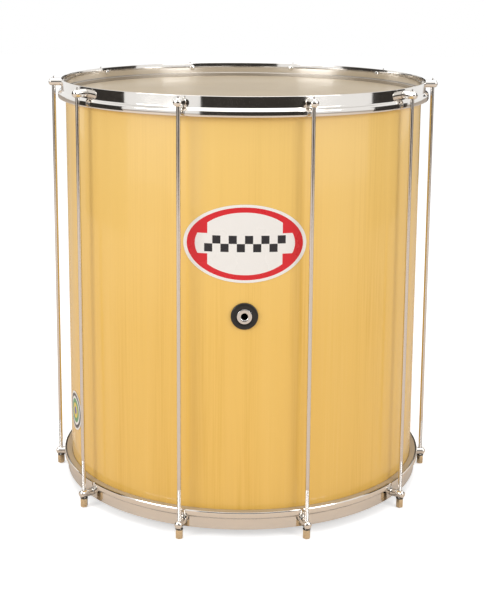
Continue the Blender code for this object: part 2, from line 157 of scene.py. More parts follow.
def lathe(name: str, profile: Profile, steps: int, closed: bool = True) -> bpy.types.Object:
    """Draws a profile by extruding one point along it, and spins it about Z.

    Args:
        name: the piece's name.
        profile: points of radius and height.
        steps: how many steps a full turn has.
        closed: whether the last point joins the first. An open profile ends on the axis.

    Returns:
        The turned piece, with its doubles merged and its faces outwards.
    """
    clear_selection()
    bpy.ops.mesh.primitive_plane_add(size=START_SIZE)
    piece = bpy.context.object
    name_piece(piece, name)
    bpy.ops.object.mode_set(mode="EDIT")
    bpy.ops.mesh.select_all(action="SELECT")
    bpy.ops.mesh.merge(type="CENTER")
    path = profile + profile[:1] if closed else profile
    bpy.ops.transform.translate(value=(path[0][0], 0.0, path[0][1]))
    for (radius, height), (next_radius, next_height) in zip(path, path[1:]):
        bpy.ops.mesh.extrude_vertices_move(TRANSFORM_OT_translate={
            "value": (next_radius - radius, 0.0, next_height - height)})
    bpy.ops.mesh.select_all(action="SELECT")
    bpy.ops.mesh.spin(
        steps=steps, angle=2 * math.pi, center=(0.0, 0.0, 0.0), axis=(0.0, 0.0, 1.0))
    bpy.ops.mesh.select_all(action="SELECT")
    bpy.ops.mesh.remove_doubles(threshold=MERGE_DISTANCE)
    bpy.ops.mesh.normals_make_consistent(inside=False)
    bpy.ops.object.mode_set(mode="OBJECT")
    return piece


def arc(centre: tuple[float, float], radius: float, start: float, end: float, steps: int,
        rise: float | None = None) -> Profile:
    """Gives points of a round or oval arc in a profile.

    Args:
        centre: the arc's centre as radius and height.
        radius: the arc's own radius.
        start: the first angle in degrees, from the outward direction.
        end: the last angle in degrees.
        steps: how many stretches it has.
        rise: the arc's half height where it is oval, below zero for one that opens downwards.

    Returns:
        The arc's points, both ends among them.
    """
    upright = radius if rise is None else rise
    angles = [math.radians(start + (end - start) * step / steps) for step in range(steps + 1)]
    return [(centre[0] + radius * math.cos(angle), centre[1] + upright * math.sin(angle))
            for angle in angles]


def drill(piece: bpy.types.Object, radius: float, depth: float, place: Matrix,
          vertices: int) -> None:
    """Cuts a round hole through a piece.

    Args:
        piece: the object to cut.
        radius: the hole's radius.
        depth: the length of the cutting cylinder.
        place: the cylinder's middle, with its axis along local Z.
        vertices: how many sides the hole has.
    """
    clear_selection()
    bpy.ops.mesh.primitive_cylinder_add(radius=radius, depth=depth, vertices=vertices)
    cutter = bpy.context.object
    cutter.matrix_world = place
    cut = piece.modifiers.new("hole", "BOOLEAN")
    cut.operation = "DIFFERENCE"
    cut.solver = "EXACT"
    cut.object = cutter
    bpy.context.view_layer.update()
    apply_modifiers(piece)
    bpy.data.objects.remove(cutter, do_unlink=True)


def copy_piece(model: bpy.types.Object, name: str, place: Matrix) -> bpy.types.Object:
    """Copies a model with its own mesh, and puts its place into that mesh.

    Args:
        model: the piece that is repeated.
        name: the copy's name.
        place: the copy's place.

    Returns:
        The copy, whose object sits at the origin.
    """
    copied = model.copy()
    copied.data = model.data.copy()
    name_piece(copied, name)
    bpy.context.scene.collection.objects.link(copied)
    copied.data.transform(place)
    return copied


def dress(piece: bpy.types.Object, material: bpy.types.Material) -> None:
    """Gives a piece its one material.

    Args:
        piece: the object to dress.
        material: its finish.
    """
    piece.data.materials.clear()
    piece.data.materials.append(material)


def seat(piece: bpy.types.Object, node: str | None = None,
         body: str = MAIN_BODY) -> None:
    """Makes a finished piece ride on its body, in the place of its CAD node.

    Args:
        piece: the finished piece.
        node: the CAD node that it stands for, or None for a piece that has none.
        body: the CAD body that it rides on.
    """
    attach(piece, body)
    if node is not None:
        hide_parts(node)
    LOG.info("%s rides on %s, %d faces", piece.name, body, len(piece.data.polygons))


def middle_height(node: str) -> float:
    """Gives the height of a CAD node's middle."""
    low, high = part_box(node)
    return (low.z + high.z) / 2


def node_length(node: str) -> float:
    """Gives how far a CAD node reaches along the drum's axis."""
    low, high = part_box(node)
    return high.z - low.z


def rod_place(index: int, height: float = 0.0) -> Matrix:
    """Gives the place of a rod's axis at a height.

    Args:
        index: which rod, from 0.
        height: the height above the standing plane.

    Returns:
        The place, turned so that local X points away from the drum.
    """
    turn = Matrix.Rotation(FIRST_ROD_ANGLE + 2 * math.pi / ROD_COUNT * index, 4, "Z")
    out = Matrix.Translation((ROD_CIRCLE_RADIUS, 0.0, 0.0))
    return Matrix.Translation((0.0, 0.0, height)) @ turn @ out


class DrumEnd(Enum):
    """The two ends of the drum, as the CAD nodes name them."""

    TOP = "top"
    BOTTOM = "bottom"

    def stand(self, section: Profile, node: str) -> Profile:
        """Puts a section at this end of the drum.

        Args:
            section: points of radius and depth below the node's outer side.
            node: the CAD node that gives the height of that side.

        Returns:
            The same points as radius and height.
        """
        low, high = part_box(node)
        if self is DrumEnd.TOP:
            return [(radius, high.z - depth) for radius, depth in section]
        return [(radius, low.z + depth) for radius, depth in section]


@dataclass(frozen=True)
class NoiseLayer:
    """One noise pattern, and the part of its range that counts as a mark."""

    scale: float
    detail: float
    low: float = 0.0
    high: float = 1.0
    stretch: Triple = EVEN


class NodeTree:
    """Adds and joins the nodes of a material, a group or the world."""

    def __init__(self, tree: bpy.types.NodeTree) -> None:
        """Keeps the tree that it writes to.

        Args:
            tree: the node tree.
        """
        self.tree = tree

    def add(self, kind: str, **settings: object) -> bpy.types.Node:
        """Adds a node.

        Args:
            kind: the node's type name.
            settings: its properties.

        Returns:
            The new node.
        """
        node = self.tree.nodes.new(kind)
        for key, value in settings.items():
            setattr(node, key, value)
        return node

    def feed(self, source: Socket | float | Colour, target: Socket) -> None:
        """Links a socket to an input, or sets the input to a value.

        Args:
            source: a socket, a number or a colour.
            target: the input.
        """
        if isinstance(source, Socket):
            self.tree.links.new(source, target)
        elif target.type == "RGBA":
            target.default_value = (*source, 1.0)
        else:
            target.default_value = source

    def place(self) -> Socket:
        """Gives the Object coordinates, which are the place in the drum's frame."""
        return self.add("ShaderNodeTexCoord").outputs["Object"]

    def calc(self, operation: str, first: Socket | float, second: Socket | float = 0.0) -> Socket:
        """Adds a Math node.

        Args:
            operation: its operation.
            first: a socket or a number.
            second: a socket or a number, which some operations don't use.

        Returns:
            Its result.
        """
        node = self.add("ShaderNodeMath", operation=operation)
        self.feed(first, node.inputs[0])
        self.feed(second, node.inputs[1])
        return node.outputs[0]

    def product(self, *factors: Socket | float) -> Socket:
        """Multiplies several values.

        Args:
            factors: two or more sockets or numbers, the first of them a socket.

        Returns:
            Their product.
        """
        result = factors[0]
        for factor in factors[1:]:
            result = self.calc("MULTIPLY", result, factor)
        return result

    def above(self, value: Socket, limit: float) -> Socket:
        """Gives 1 where a value is above a limit, and 0 elsewhere."""
        return self.calc("GREATER_THAN", value, limit)

    def below(self, value: Socket, limit: float) -> Socket:
        """Gives 1 where a value is below a limit, and 0 elsewhere."""
        return self.calc("LESS_THAN", value, limit)

    def ramp(self, source: Socket, low: float, high: float) -> Socket:
        """Stretches a value from low..high to 0..1, with clamped ends.

        Args:
            source: the value.
            low: what becomes 0.
            high: what becomes 1.

        Returns:
            The stretched value.
        """
        node = self.add("ShaderNodeMapRange", clamp=True)
        self.feed(source, node.inputs["Value"])
        self.feed(low, node.inputs["From Min"])
        self.feed(high, node.inputs["From Max"])
        return node.outputs["Result"]

    def mix(self, share: Socket, first: Socket | Colour, second: Socket | Colour) -> Socket:
        """Mixes two colours.

        Args:
            share: the share of the second colour.
            first: a socket or a colour.
            second: a socket or a colour.

        Returns:
            The mixed colour.
        """
        node = self.add("ShaderNodeMix", data_type="RGBA")
        self.feed(share, node.inputs["Factor"])
        self.feed(first, node.inputs[MIX_FIRST])
        self.feed(second, node.inputs[MIX_SECOND])
        return node.outputs[MIX_RESULT]

    def noise(self, place: Socket, scale: Socket | float, detail: float,
              stretch: Triple = EVEN) -> Socket:
        """Adds noise.

        Args:
            place: the coordinates.
            scale: how fine the noise is.
            detail: its octaves.
            stretch: a further scale along each axis.

        Returns:
            The noise's value.
        """
        mapping = self.add("ShaderNodeMapping")
        self.feed(place, mapping.inputs["Vector"])
        self.feed(stretch, mapping.inputs["Scale"])
        node = self.add("ShaderNodeTexNoise")
        self.feed(mapping.outputs["Vector"], node.inputs["Vector"])
        self.feed(scale, node.inputs["Scale"])
        self.feed(detail, node.inputs["Detail"])
        return node.outputs["Fac"]

    def pattern(self, place: Socket, layer: NoiseLayer) -> Socket:
        """Adds a layer's noise over its whole range."""
        return self.noise(place, layer.scale, layer.detail, layer.stretch)

    def marks(self, place: Socket, layer: NoiseLayer) -> Socket:
        """Adds a layer's noise, with the part that counts as a mark stretched to 0..1."""
        return self.ramp(self.pattern(place, layer), layer.low, layer.high)

    def bump(self, height: Socket, strength: float, distance: float) -> Socket:
        """Turns a height into a normal.

        Args:
            height: the height.
            strength: how much of it shows.
            distance: how deep it is.

        Returns:
            The normal.
        """
        node = self.add("ShaderNodeBump")
        self.feed(height, node.inputs["Height"])
        self.feed(strength, node.inputs["Strength"])
        self.feed(distance, node.inputs["Distance"])
        return node.outputs["Normal"]


@dataclass(frozen=True)
class Wear:
    """What the shared wear group gives a material: three values over the surface."""

    smudge: Socket
    scratch: Socket
    dust: Socket


@dataclass
class WearGroup:
    """The shared node group of faint smudges, fine scratches and dust."""

    smudge_detail: float = 4.0
    smudge_from: float = 0.42
    smudge_to: float = 0.70
    scratch_width: float = 0.02
    patches: NoiseLayer = NoiseLayer(35.0, 3.0, 0.56, 0.66)
    dust: NoiseLayer = NoiseLayer(900.0, 1.0, 0.68, 0.78)

    def __post_init__(self) -> None:
        """Builds the group once."""
        self.group = bpy.data.node_groups.new("surface_wear", "ShaderNodeTree")
        for label in ("Smudge Scale", "Scratch Scale"):
            self.group.interface.new_socket(
                label, in_out="INPUT", socket_type="NodeSocketFloat")
        for label in ("Smudge", "Scratch", "Dust"):
            self.group.interface.new_socket(
                label, in_out="OUTPUT", socket_type="NodeSocketFloat")
        tree = NodeTree(self.group)
        source = tree.add("NodeGroupInput").outputs
        result = tree.add("NodeGroupOutput").inputs
        place = tree.place()
        smudge = tree.noise(place, source["Smudge Scale"], self.smudge_detail)
        tree.feed(tree.ramp(smudge, self.smudge_from, self.smudge_to), result["Smudge"])
        cells = tree.add("ShaderNodeTexVoronoi", feature="DISTANCE_TO_EDGE")
        tree.feed(place, cells.inputs["Vector"])
        tree.feed(source["Scratch Scale"], cells.inputs["Scale"])
        thin = tree.ramp(cells.outputs["Distance"], self.scratch_width, 0.0)
        scratched = tree.product(thin, tree.marks(place, self.patches))
        tree.feed(scratched, result["Scratch"])
        tree.feed(tree.marks(place, self.dust), result["Dust"])

    def put(self, tree: NodeTree, smudge_scale: float, scratch_scale: float) -> Wear:
        """Adds the group to a material.

        Args:
            tree: the material's nodes.
            smudge_scale: how fine its smudges are.
            scratch_scale: how fine its scratches are.

        Returns:
            The group's values.
        """
        node = tree.add("ShaderNodeGroup", node_tree=self.group)
        tree.feed(smudge_scale, node.inputs["Smudge Scale"])
        tree.feed(scratch_scale, node.inputs["Scratch Scale"])
        return Wear(node.outputs["Smudge"], node.outputs["Scratch"], node.outputs["Dust"])


@dataclass(frozen=True)
class Coating:
    """What a finish lays over the surface: a colour, and a fine height where it has relief."""

    colour: Socket
    height: Socket | None = None


@dataclass(frozen=True)
class Finish:
    """What every finish of the drum has. Each kind of finish adds its own coating."""

    name: str
    colour: Colour
    roughness: float
    metallic: float = 0.0
    coat: float = 0.0
    coat_roughness: float = 0.04
    smudge_scale: float = 14.0
    smudge_depth: float = 0.1
    scratch_scale: float = 300.0
    scratch_depth: float = 0.0
    relief: float = 0.0
    relief_depth: float = 0.0002

    def paint(self, tree: NodeTree, place: Socket, wear: Wear) -> Coating:
        """Lays the coating, which each kind of finish does in its own way.

        Args:
            tree: the material's nodes.
            place: the place in the drum's frame.
            wear: the wear over the surface.

        Returns:
            The coating.
        """
        raise NotImplementedError

    def build(self, group: WearGroup) -> bpy.types.Material:
        """Makes the material.

        Args:
            group: the shared wear group.

        Returns:
            The finished material.
        """
        material = bpy.data.materials.new(self.name)
        material.use_nodes = True
        shader = material.node_tree.nodes["Principled BSDF"].inputs
        tree = NodeTree(material.node_tree)
        tree.feed(self.metallic, shader["Metallic"])
        tree.feed(self.coat, shader["Coat Weight"])
        tree.feed(self.coat_roughness, shader["Coat Roughness"])
        place = tree.place()
        wear = group.put(tree, self.smudge_scale, self.scratch_scale)
        rough = tree.calc("ADD", tree.product(wear.smudge, self.smudge_depth), self.roughness)
        if self.scratch_depth > 0.0:
            rough = tree.calc("ADD", rough, tree.product(wear.scratch, self.scratch_depth))
        tree.feed(rough, shader["Roughness"])
        coating = self.paint(tree, place, wear)
        tree.feed(coating.colour, shader["Base Color"])
        if coating.height is not None:
            normal = tree.bump(coating.height, self.relief, self.relief_depth)
            tree.feed(normal, shader["Normal"])
        return material


@dataclass(frozen=True)
class MetalFinish(Finish):
    """Plated or turned metal, with smudges in its gloss, dust and fine scratches."""

    metallic: float = 1.0
    smudge_depth: float = 0.05
    scratch_depth: float = 0.12
    relief: float = 0.04
    relief_depth: float = 0.0001
    dust_share: float = 0.25
    dust_colour: Colour = (0.55, 0.50, 0.44)

    def paint(self, tree: NodeTree, place: Socket, wear: Wear) -> Coating:
        """Mixes dust over the metal, with the scratches as relief."""
        share = tree.product(wear.dust, self.dust_share)
        return Coating(tree.mix(share, self.colour, self.dust_colour), wear.scratch)


@dataclass(frozen=True)
class LaminateFinish(Finish):
    """Pale yellow wood laminate under a clear gloss, with upright grain, and painted light that
    makes its top part lighter.
    """

    coat: float = 0.4
    smudge_scale: float = 5.0
    smudge_depth: float = 0.05
    scratch_scale: float = 120.0
    relief: float = 0.05
    dark_grain: Colour = (0.74, 0.44, 0.075)
    light_grain: Colour = (0.88, 0.57, 0.15)
    # Painted light: a lighter tone for the top part of the shell, its share, and the heights over
    # which it fades in.
    painted_light_tone: Colour = (0.94, 0.68, 0.27)
    painted_light_share: float = 0.55
    painted_light_from: float = 0.30
    painted_light_to: float = 0.62
    bands: NoiseLayer = NoiseLayer(26.0, 2.0, 0.35, 0.65, (1.0, 1.0, 0.05))
    grain: NoiseLayer = NoiseLayer(420.0, 3.0, 0.15, 0.62, (1.0, 1.0, 0.012))
    fibres: NoiseLayer = NoiseLayer(1500.0, 2.0, 0.58, 0.72, (1.0, 1.0, 0.006))
    fibre_share: float = 0.16

    def paint(self, tree: NodeTree, place: Socket, wear: Wear) -> Coating:
        """Lays broad bands, fine grain and dark fibres over each other, and paints light onto the
        top part of the shell.

        Args:
            tree: the material's nodes.
            place: the place in the drum's frame.
            wear: the wear over the surface; not used.

        Returns:
            The wood's colour with painted light on its top part, and the grain as relief.
        """
        grain = tree.pattern(place, self.grain)
        fibres = tree.product(tree.marks(place, self.fibres), self.fibre_share)
        wood = tree.mix(tree.marks(place, self.bands), self.dark_grain, self.light_grain)
        wood = tree.mix(tree.ramp(grain, self.grain.low, self.grain.high), wood, self.colour)
        wood = tree.mix(fibres, wood, self.dark_grain)
        split = tree.add("ShaderNodeSeparateXYZ")
        tree.feed(place, split.inputs[0])
        # Painted light: the top part of the shell is mixed towards a lighter tone.
        painted_light_mask = tree.ramp(split.outputs["Z"], self.painted_light_from, self.painted_light_to)
        wood = tree.mix(tree.product(painted_light_mask, self.painted_light_share), wood, self.painted_light_tone)
        return Coating(wood, grain)


@dataclass(frozen=True)
class SkinFinish(Finish):
    """Milky drum film with a faint mottling."""

    smudge_scale: float = 7.0
    scratch_scale: float = 150.0
    relief: float = 0.06
    dark_share: float = 0.93
    clouds: NoiseLayer = NoiseLayer(11.0, 4.0, 0.35, 0.7)
    texture: NoiseLayer = NoiseLayer(700.0, 2.0)

    def paint(self, tree: NodeTree, place: Socket, wear: Wear) -> Coating:
        """Mixes slightly darker clouds into the film.

        Args:
            tree: the material's nodes.
            place: the place in the drum's frame.
            wear: the wear over the surface; not used.

        Returns:
            The film's colour, with its fine texture as relief.
        """
        darker = tuple(self.dark_share * part for part in self.colour)
        colour = tree.mix(tree.marks(place, self.clouds), self.colour, darker)
        return Coating(colour, tree.pattern(place, self.texture))


@dataclass(frozen=True)
class PlasticFinish(Finish):
    """Moulded black plastic with a fine texture and dust."""

    smudge_scale: float = 60.0
    smudge_depth: float = 0.15
    scratch_scale: float = 500.0
    relief: float = 0.15
    dust_share: float = 0.3
    dust_colour: Colour = (0.10, 0.09, 0.08)
    texture: NoiseLayer = NoiseLayer(2500.0, 2.0)

    def paint(self, tree: NodeTree, place: Socket, wear: Wear) -> Coating:
        """Mixes dust over the plastic.

        Args:
            tree: the material's nodes.
            place: the place in the drum's frame.
            wear: the wear over the surface.

        Returns:
            The plastic's colour, with the mould's fine texture as relief.
        """
        share = tree.product(wear.dust, self.dust_share)
        colour = tree.mix(share, self.colour, self.dust_colour)
        return Coating(colour, tree.pattern(place, self.texture))


@dataclass(frozen=True)
class LabelFinish(Finish):
    """White film with a generic print: a red border, red side fields and dark chequers.

    Distances on the print are shares of the label's half width and half height.
    """

    smudge_scale: float = 20.0
    border_inner: float = 0.80
    border_outer: float = 0.93
    side_from: float = 0.60
    side_above: float = 0.26
    side_reach: float = 0.86
    chequer_width: float = 0.13
    chequer_height: float = 0.21
    chequer_end: float = 0.65
    red: Colour = (0.68, 0.015, 0.025)
    dark: Colour = (0.02, 0.02, 0.025)

    def paint(self, tree: NodeTree, place: Socket, wear: Wear) -> Coating:
        """Draws the print from the place on the label.

        Args:
            tree: the material's nodes.
            place: the place in the drum's frame.
            wear: the wear over the surface; not used.

        Returns:
            The print's colour.
        """
        split = tree.add("ShaderNodeSeparateXYZ")
        tree.feed(place, split.inputs[0])
        across = tree.calc("DIVIDE", split.outputs["X"], LABEL_HALF_WIDTH)
        rise = tree.calc("SUBTRACT", split.outputs["Z"], LABEL_HEIGHT)
        upright = tree.calc("DIVIDE", rise, LABEL_HALF_HEIGHT)
        side = tree.calc("ABSOLUTE", across)
        away = tree.calc("ABSOLUTE", upright)
        squares = tree.calc("ADD", tree.product(across, across), tree.product(upright, upright))
        reach = tree.calc("SQRT", squares)
        border = tree.product(
            tree.above(reach, self.border_inner), tree.below(reach, self.border_outer))
        fields = tree.product(
            tree.above(side, self.side_from), tree.above(away, self.side_above),
            tree.below(reach, self.side_reach))
        swing = tree.calc("SINE", tree.product(across, math.pi / self.chequer_width))
        chequers = tree.product(
            tree.above(tree.product(swing, upright), 0.0),
            tree.below(away, self.chequer_height), tree.below(side, self.chequer_end))
        colour = tree.mix(tree.calc("MAXIMUM", border, fields), self.colour, self.red)
        return Coating(tree.mix(chequers, colour, self.dark))


@dataclass(frozen=True)
class StickerFinish(Finish):
    """Round white film with plain rings in several colours, each out to a share of its radius."""

    smudge_scale: float = 30.0
    middle: Triple = (0.0, 0.0, 0.0)
    radius: float = 0.031
    rings: tuple[tuple[float, Colour], ...] = (
        (0.90, (0.05, 0.05, 0.06)),
        (0.74, (0.86, 0.85, 0.82)),
        (0.62, (0.10, 0.30, 0.12)),
        (0.40, (0.80, 0.60, 0.08)),
        (0.20, (0.06, 0.10, 0.40)),
    )

    def paint(self, tree: NodeTree, place: Socket, wear: Wear) -> Coating:
        """Draws the rings from the distance to the sticker's middle.

        Args:
            tree: the material's nodes.
            place: the place in the drum's frame.
            wear: the wear over the surface; not used.

        Returns:
            The print's colour.
        """
        distance = tree.add("ShaderNodeVectorMath", operation="DISTANCE")
        tree.feed(place, distance.inputs[0])
        tree.feed(self.middle, distance.inputs[1])
        share = tree.calc("DIVIDE", distance.outputs["Value"], self.radius)
        colour = self.colour
        for edge, ring_colour in self.rings:
            colour = tree.mix(tree.below(share, edge), colour, ring_colour)
        return Coating(colour)


@dataclass
class Shell:
    """The laminated shell with its vent hole."""

    radius: float = SHELL_RADIUS
    wall: float = 0.006
    edge_round: float = 0.0015
    outer_round_steps: int = 4
    inner_round_steps: int = 2
    vent_radius: float = VENT_BARREL_RADIUS + CONTACT_GAP
    cutter_length: float = 0.05
    vent_sides: int = 32
    steps: int = 288

    def build(self, material: bpy.types.Material) -> None:
        """Models the shell over its CAD node.

        Args:
            material: the laminate.
        """
        low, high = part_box("shell")
        outer_round, inner_round = self.edge_round, self.edge_round / 2
        outer_steps, inner_steps = self.outer_round_steps, self.inner_round_steps
        outer = self.radius - outer_round
        inner = self.radius - self.wall + inner_round
        profile = arc((outer, high.z - outer_round), outer_round, 90, 0, outer_steps)
        profile += arc((outer, low.z + outer_round), outer_round, 0, -90, outer_steps)
        profile += arc((inner, low.z + inner_round), inner_round, -90, -180, inner_steps)
        profile += arc((inner, high.z - inner_round), inner_round, 180, 90, inner_steps)
        piece = lathe("shell_body", profile, self.steps)
        turn = Matrix.Rotation(math.pi / 2, 4, "X")
        place = Matrix.Translation((0.0, -self.radius, VENT_HEIGHT)) @ turn
        drill(piece, self.vent_radius, self.cutter_length, place, self.vent_sides)
        smooth(piece)
        dress(piece, material)
        seat(piece, "shell")


@dataclass
class Head:
    """One drum skin, with its collar and its flap under the hoop.

    The fold of the top skin, which faces the camera, has one stretch more than the bottom one's.
    """

    end: DrumEnd
    face_radius: float = 0.2784
    collar_inner: float = 0.2798
    thickness: float = 0.0004
    flap_radius: float = HOOP_OUTER_RADIUS
    face_rings: tuple[float, ...] = (0.0, 0.09, 0.18, 0.25)
    fold_end: float = 10.0
    fold_steps: dict[DrumEnd, int] = field(
        default_factory=lambda: {DrumEnd.TOP: 5, DrumEnd.BOTTOM: 4})
    sharp_angle: float = math.radians(50.0)
    steps: int = 240

    def build(self, material: bpy.types.Material) -> None:
        """Models the skin over its CAD node.

        Args:
            material: the film.
        """
        node = f"{self.end.value}_head"
        flap = node_length(node)
        collar_outer = self.collar_inner + self.thickness
        fold = collar_outer - self.face_radius
        section = [(radius, 0.0) for radius in self.face_rings]
        section += arc((self.face_radius, fold), fold, 90, self.fold_end,
                       self.fold_steps[self.end], -fold)
        section += [
            (collar_outer, flap - self.thickness),
            (self.flap_radius, flap - self.thickness),
            (self.flap_radius, flap),
            (self.collar_inner, flap),
            (self.collar_inner, fold),
            (self.face_radius, self.thickness),
            (0.0, self.thickness),
        ]
        profile = self.end.stand(section, node)
        piece = lathe(f"{self.end.value}_skin", profile, self.steps, closed=False)
        smooth(piece, self.sharp_angle)
        dress(piece, material)
        seat(piece, node)


@dataclass
class FleshHoop:
    """The metal hoop that holds one skin, with a face that slopes outwards."""

    end: DrumEnd
    inner: float = 0.2807
    outer: float = HOOP_OUTER_RADIUS
    slope_start: float = 0.28376
    slope_drop: float = 0.0029
    edge: float = 0.0006
    steps: int = 240

    def build(self, material: bpy.types.Material) -> None:
        """Models the hoop over its CAD node.

        Args:
            material: the hoop's metal.
        """
        node = f"{self.end.value}_flesh_hoop"
        height = node_length(node)
        section = [
            (self.slope_start, 0.0),
            (self.outer, self.slope_drop),
            (self.outer, height - self.edge),
            (self.outer - self.edge, height),
            (self.inner, height),
            (self.inner, self.edge),
            (self.inner + self.edge, 0.0),
        ]
        piece = lathe(f"{self.end.value}_hoop", self.end.stand(section, node), self.steps)
        smooth(piece)
        dress(piece, material)
        seat(piece, node)


@dataclass
class Rim:
    """One rolled rim: a rounded free edge, and wall, shoulder, skirt and curl of sheet."""

    end: DrumEnd
    wall_radius: float = RIM_WALL_RADIUS
    sheet: float = RIM_SHEET
    edge_round: float = 0.0007
    edge_steps: int = 8
    wall_height: float = 0.0158
    shoulder: float = 0.0052
    shoulder_steps: int = 10
    step_out: float = 0.0050
    inner_lag: float = 0.45 * RIM_SHEET
    skirt: float = 0.0055
    curl: float = 0.0020
    curl_in: float = 0.0008
    curl_lip: float = 0.0002
    curl_shares: tuple[float, ...] = (0.35, 0.7, 1.0)
    sharp_angle: float = math.radians(40.0)
    steps: int = 288

    def outer_side(self) -> Profile:
        """Gives the outer side of the sheet, from its free edge down.

        Returns:
            Points of radius and depth below the free edge.
        """
        points = [(self.wall_radius, self.edge_round), (self.wall_radius, self.wall_height)]
        for index in range(1, self.shoulder_steps + 1):
            share = index / self.shoulder_steps
            out = self.step_out * (1 - math.cos(math.pi * share)) / 2
            points.append((self.wall_radius + out, self.wall_height + self.shoulder * share))
        skirt_radius = self.wall_radius + self.step_out
        foot = self.wall_height + self.shoulder + self.skirt
        points.append((skirt_radius, foot))
        for share in self.curl_shares:
            points.append((skirt_radius - self.curl_in * share * share, foot + self.curl * share))
        return points

    def inner_side(self, outer: Profile) -> Profile:
        """Gives the inner side of the sheet, from its curl up to the wall.

        Args:
            outer: the outer side.

        Returns:
            Points of radius and depth below the free edge.
        """
        end_radius, end_depth = outer[-1]
        points = [(end_radius - self.sheet + self.curl_lip, end_depth)]
        for radius, depth in reversed(outer[1:-1]):
            lag = self.inner_lag if depth > self.wall_height else 0.0
            points.append((radius - self.sheet, depth + lag))
        return points

    def build(self, material: bpy.types.Material) -> None:
        """Models the rim over its CAD node.

        Args:
            material: the plating.
        """
        node = f"{self.end.value}_rim"
        half = self.sheet / 2
        outer = self.outer_side()
        free_edge = arc((self.wall_radius - half, self.edge_round), half, 180, 0,
                        self.edge_steps, -self.edge_round)
        section = outer + self.inner_side(outer) + free_edge[:-1]
        piece = lathe(f"{self.end.value}_rim_sheet", self.end.stand(section, node), self.steps)
        smooth(piece, self.sharp_angle)
        dress(piece, material)
        seat(piece, node)


@dataclass
class RodStuds:
    """The domed studs riveted through both rims, each drilled for its rod."""

    radius: float = 0.006
    length: float = 0.0218
    dome: float = 0.0042
    dome_steps: int = 8
    groove: float = 0.0004
    tail: float = 0.0030
    rivet: float = 0.0045
    rivet_height: float = 0.0012
    rivet_steps: int = 5
    cutter_length: float = 0.03
    cutter_turn: float = math.radians(5.0)
    bore_sides: int = 24
    steps: int = 32

    def model(self) -> bpy.types.Object:
        """Models one stud along X, with its rod's axis at the origin.

        Returns:
            The stud.
        """
        start = RIM_WALL_RADIUS + CONTACT_GAP - ROD_CIRCLE_RADIUS
        end = start + self.length
        inner = start - RIM_SHEET - 2 * CONTACT_GAP
        waist = self.radius - self.groove
        profile = arc((0.0, end - self.dome), self.radius, 90, 0, self.dome_steps, self.dome)
        profile += [
            (self.radius, start + 3 * self.groove),
            (waist, start + 2 * self.groove),
            (waist, start + self.groove),
            (self.radius, start),
            (self.tail, start),
            (self.tail, inner),
        ]
        profile += arc((0.0, inner), self.rivet, 0, -90, self.rivet_steps, self.rivet_height)
        piece = lathe("stud_model", profile, self.steps, closed=False)
        piece.data.transform(Matrix.Rotation(math.pi / 2, 4, "Y"))
        place = Matrix.Rotation(self.cutter_turn, 4, "Z")
        drill(piece, ROD_BORE_RADIUS, self.cutter_length, place, self.bore_sides)
        smooth(piece)
        return piece

    def build(self, material: bpy.types.Material) -> None:
        """Copies the stud to every place in both rims.

        Args:
            material: the plating.
        """
        model = self.model()
        dress(model, material)
        for end in DrumEnd:
            for index in range(ROD_COUNT):
                tag = f"{index + 1:02d}"
                node = f"{end.value}_rod_stud_{tag}"
                place = rod_place(index, middle_height(node))
                seat(copy_piece(model, f"{end.value}_stud_{tag}", place), node)
        bpy.data.objects.remove(model, do_unlink=True)


@dataclass
class TensionRods:
    """The rods, with a nib at the top and rolled thread at the lower end."""

    radius: float = ROD_RADIUS
    edge: float = 0.0004
    nib: float = 0.0010
    nib_length: float = 0.0040
    nib_flat: float = 0.0007
    nib_edge: float = 0.0003
    thread_top: float = 0.075
    thread_depth: float = 0.00035
    pitch: float = 0.001
    steps: int = 20

    def build(self, material: bpy.types.Material) -> None:
        """Models one rod and copies it to its ten places.

        Args:
            material: the plating.
        """
        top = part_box("tension_rod_01")[1].z
        shank_top = top - self.nib_length
        profile = [
            (0.0, top),
            (self.nib_flat, top),
            (self.nib, top - self.nib_edge),
            (self.nib, shank_top),
            (self.radius - self.edge, shank_top),
            (self.radius, shank_top - self.edge),
            (self.radius, self.thread_top),
        ]
        turns = round(self.thread_top / self.pitch) - 1
        for turn in range(turns):
            crest = self.thread_top - turn * self.pitch
            profile.append((self.radius - self.thread_depth, crest - self.pitch / 2))
            profile.append((self.radius, crest - self.pitch))
        profile += [(self.radius - self.edge, 0.0), (0.0, 0.0)]
        model = lathe("rod_model", profile, self.steps, closed=False)
        smooth(model)
        dress(model, material)
        for index in range(ROD_COUNT):
            tag = f"{index + 1:02d}"
            seat(copy_piece(model, f"rod_{tag}", rod_place(index)),
                 f"tension_rod_{tag}")
        bpy.data.objects.remove(model, do_unlink=True)


